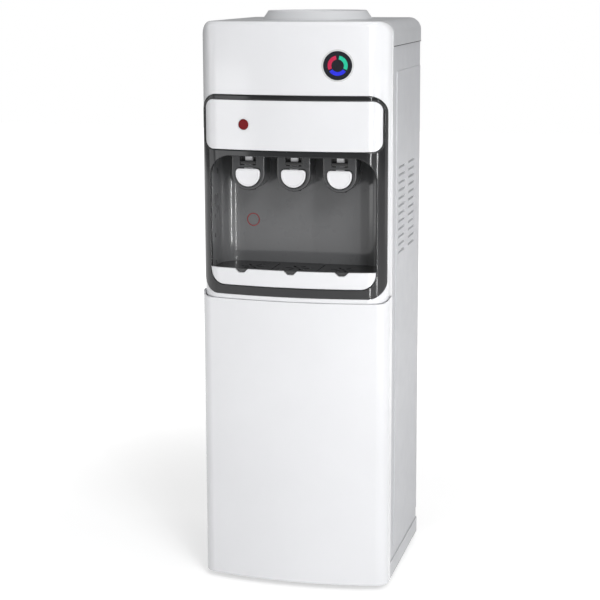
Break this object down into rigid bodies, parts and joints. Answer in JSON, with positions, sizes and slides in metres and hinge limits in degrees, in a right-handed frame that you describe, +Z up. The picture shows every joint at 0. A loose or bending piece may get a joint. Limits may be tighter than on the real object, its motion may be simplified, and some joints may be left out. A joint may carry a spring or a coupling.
{
  "type": "water cooler",
  "caption": "Free-standing top-loading water cooler with a bowed front, taps in a niche, a status dial and a removable drip tray.",
  "frame": {"origin": "centre of the bounding box at floor level", "axes": "+Z up, front faces -Y, +X to the right of someone who faces the front"},
  "size_m": [0.32, 0.33, 0.965],
  "materials": {
    "white_gloss": "gloss",
    "white_paddle": "gloss",
    "grey_sheet": "satin",
    "grey_moulding": "satin",
    "seat_white": "satin",
    "graphite_frame": "gloss",
    "niche_grey": "gloss",
    "tap_graphite": "satin",
    "spout_white": "satin",
    "black_grille": "satin",
    "bright_ring": "polished",
    "dark_lens": "gloss",
    "light_red": "gloss",
    "light_green": "gloss",
    "light_blue": "gloss",
    "red_button": "gloss",
    "black_plastic": "satin",
    "circuit_board": "satin",
    "zinc_sheet": "satin",
    "stainless": "satin",
    "heater_band": "satin",
    "evaporator_metal": "satin",
    "white_foam": "matte",
    "silicone_hose": "satin",
    "black_enamel": "satin",
    "black_rubber": "matte",
    "copper_pipe": "satin",
    "drain_white": "satin"
  },
  "bodies": {
    "cabinet": {"lower_front_panel": "white_gloss", "upper_front_panel": "white_gloss", "control_strip": "white_gloss", "button_bezel": "white_gloss", "left_side_panel": "grey_sheet", "right_side_panel": "grey_sheet", "top_cover": "grey_moulding", "base_pan": "grey_moulding", "fascia_frame": "graphite_frame", "niche_liner": "niche_grey", "tap_housing_hot": "tap_graphite", "tap_housing_room": "tap_graphite", "tap_housing_cold": "tap_graphite", "tap_spout_hot": "spout_white", "tap_spout_room": "spout_white", "tap_spout_cold": "spout_white", "dial_bezel": "bright_ring", "dial_lens": "dark_lens", "dial_light_red": "light_red", "dial_light_green": "light_green", "dial_light_blue": "light_blue", "lock_switch": "black_plastic", "switch_bezel": "black_plastic", "mains_gland": "black_plastic", "terminal_box": "black_plastic", "condenser_brackets": "black_plastic", "drain_caps": "black_plastic", "display_board": "circuit_board", "rear_panel": "zinc_sheet", "tank_shelf": "zinc_sheet", "hot_tank_bracket": "zinc_sheet", "cold_tank": "stainless", "hot_tank": "stainless", "tap_pins": "stainless", "hot_tank_heater": "heater_band", "evaporator_sleeve": "evaporator_metal", "cold_tank_insulation": "white_foam", "cold_hose": "silicone_hose", "room_hose": "silicone_hose", "hot_hose": "silicone_hose", "compressor": "black_enamel", "condenser_coil": "black_enamel", "condenser_wires": "black_enamel", "compressor_mounts": "black_rubber", "levelling_feet": "black_rubber", "filter_drier": "copper_pipe", "discharge_pipe": "copper_pipe", "suction_pipe": "copper_pipe", "drain_outlets": "drain_white"},
    "drip_tray": {"drip_tray": "white_gloss"},
    "drip_grille": {"drip_grille": "black_grille"},
    "hot_paddle": {"tap_paddle_hot": "white_paddle"},
    "room_paddle": {"tap_paddle_room": "white_paddle"},
    "cold_paddle": {"tap_paddle_cold": "white_paddle"},
    "lock_button": {"hot_lock_button": "red_button"},
    "bottle_holder": {"bottle_collar": "grey_moulding", "bottle_seat": "seat_white", "bottle_probe": "seat_white"},
    "heating_rocker": {"heating_switch": "black_plastic"},
    "cooling_rocker": {"cooling_switch": "black_plastic"}
  },
  "joints": [
    {"name": "tray_slide", "type": "slide", "parent": "cabinet", "child": "drip_tray", "axis": [0, -1, 0], "range_m": [0, 0.11]},
    {"name": "grille_lift", "type": "slide", "parent": "drip_tray", "child": "drip_grille", "axis": [0, 0, 1], "range_m": [0, 0.04]},
    {"name": "hot_paddle_hinge", "type": "hinge", "parent": "cabinet", "child": "hot_paddle", "pos_m": [-0.0775, -0.133, 0.7143], "axis": [1, 0, 0], "range_deg": [0, 14], "stiffness_Nm_per_rad": 0.4, "springref_deg": -4.58},
    {"name": "room_paddle_hinge", "type": "hinge", "parent": "cabinet", "child": "room_paddle", "pos_m": [0, -0.133, 0.7143], "axis": [1, 0, 0], "range_deg": [0, 14], "stiffness_Nm_per_rad": 0.4, "springref_deg": -4.58},
    {"name": "cold_paddle_hinge", "type": "hinge", "parent": "cabinet", "child": "cold_paddle", "pos_m": [0.0775, -0.133, 0.7143], "axis": [1, 0, 0], "range_deg": [0, 14], "stiffness_Nm_per_rad": 0.4, "springref_deg": -4.58},
    {"name": "lock_button_press", "type": "slide", "parent": "cabinet", "child": "lock_button", "axis": [0, 1, 0], "range_m": [0, 0.003], "stiffness_N_per_m": 600, "springref_m": -0.001},
    {"name": "bottle_holder_lift", "type": "slide", "parent": "cabinet", "child": "bottle_holder", "axis": [0, 0, 1], "range_m": [0, 0.1]},
    {"name": "heating_rocker_hinge", "type": "hinge", "parent": "cabinet", "child": "heating_rocker", "pos_m": [-0.104, 0.1408, 0.32], "axis": [1, 0, 0], "range_deg": [-16, 0]},
    {"name": "cooling_rocker_hinge", "type": "hinge", "parent": "cabinet", "child": "cooling_rocker", "pos_m": [-0.104, 0.1408, 0.35], "axis": [1, 0, 0], "range_deg": [-16, 0]}
  ]
}
